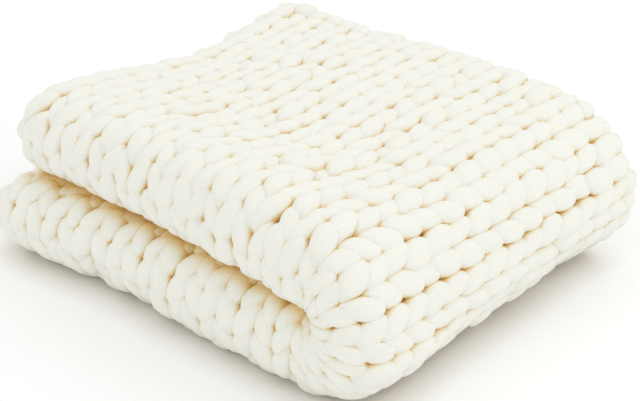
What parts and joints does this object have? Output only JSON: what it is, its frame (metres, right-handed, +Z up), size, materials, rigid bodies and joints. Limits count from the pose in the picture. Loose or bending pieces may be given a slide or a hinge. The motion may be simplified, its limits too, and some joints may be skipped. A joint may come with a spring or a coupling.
{
  "type": "folded weighted blanket",
  "caption": "Chunky hand-knitted weighted blanket in plain ivory yarn, folded in half twice into a nearly square stack with soft rolled folds",
  "frame": {"origin": "middle of the underside of the folded stack's box, on the surface it rests on", "axes": "+X from the two rolled edges to the open end, along the knit's columns; +Y from the big round fold to the panel's side edges; +Z up"},
  "size_m": [0.5608, 0.6538, 0.236],
  "materials": {
    "ivory_yarn": "soft matte cotton jersey tube yarn with a faint sheen"
  },
  "bodies": {
    "root": {"knitted_blanket": "ivory_yarn"}
  },
  "joints": []
}
